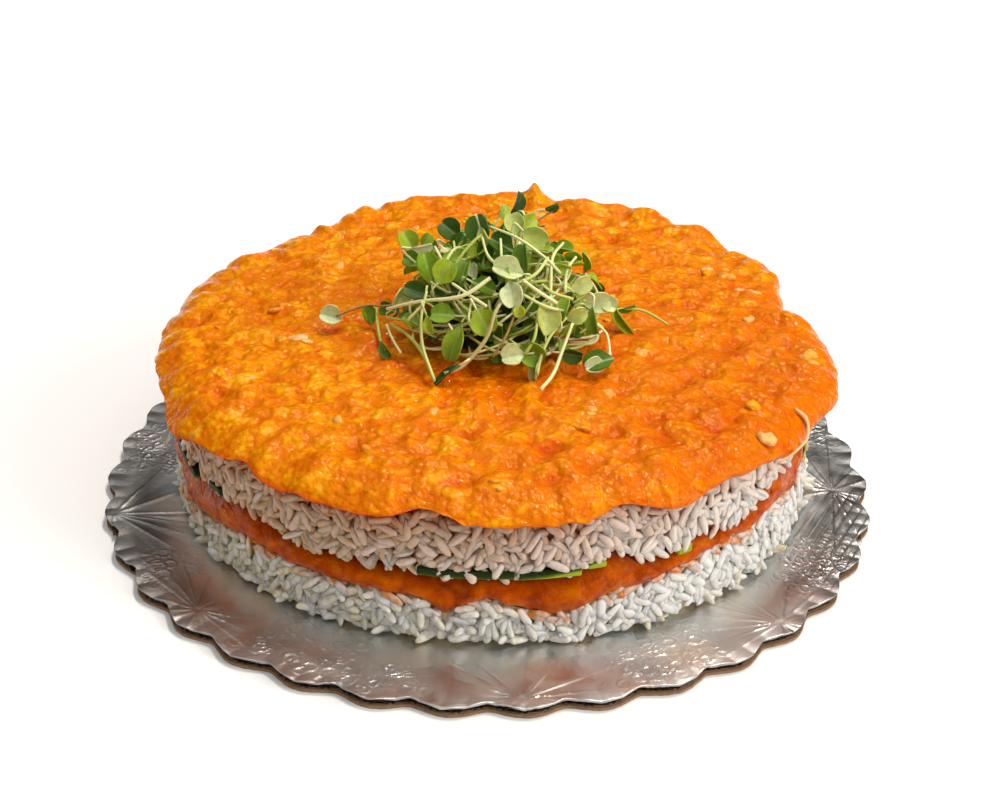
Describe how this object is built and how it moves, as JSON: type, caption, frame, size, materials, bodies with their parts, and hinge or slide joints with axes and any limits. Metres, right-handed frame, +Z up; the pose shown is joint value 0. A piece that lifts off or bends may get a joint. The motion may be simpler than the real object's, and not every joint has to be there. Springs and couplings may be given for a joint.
{
  "type": "sushi cake",
  "caption": "Round layered sushi cake: pressed rice, orange seafood filling with cucumber, minced topping and a heap of microgreens on a scalloped silver cake board.",
  "frame": {"origin": "centre of the board's flat underside, on the table", "axes": "+Z up; -Y towards the side that faces the viewer in the picture; +X to the viewer's right"},
  "size_m": [0.254, 0.2532, 0.0972],
  "materials": {
    "kraft_card": "raw brown corrugated card",
    "silver_foil": "bright embossed foil",
    "rice": "moist cooked rice, translucent white",
    "filling": "wet glossy paste",
    "cucumber": "wet cut cucumber with dark skin",
    "topping": "wet glossy minced paste",
    "greens": "fresh satin leaves"
  },
  "bodies": {
    "root": {"board_card": "kraft_card", "board_foil": "silver_foil", "rice_lower": "rice", "filling": "filling", "cucumber_1": "cucumber", "cucumber_2": "cucumber", "cucumber_3": "cucumber", "cucumber_4": "cucumber", "cucumber_5": "cucumber", "cucumber_6": "cucumber", "cucumber_7": "cucumber", "cucumber_8": "cucumber", "cucumber_9": "cucumber", "rice_upper": "rice", "topping": "topping", "microgreens": "greens"}
  },
  "joints": []
}
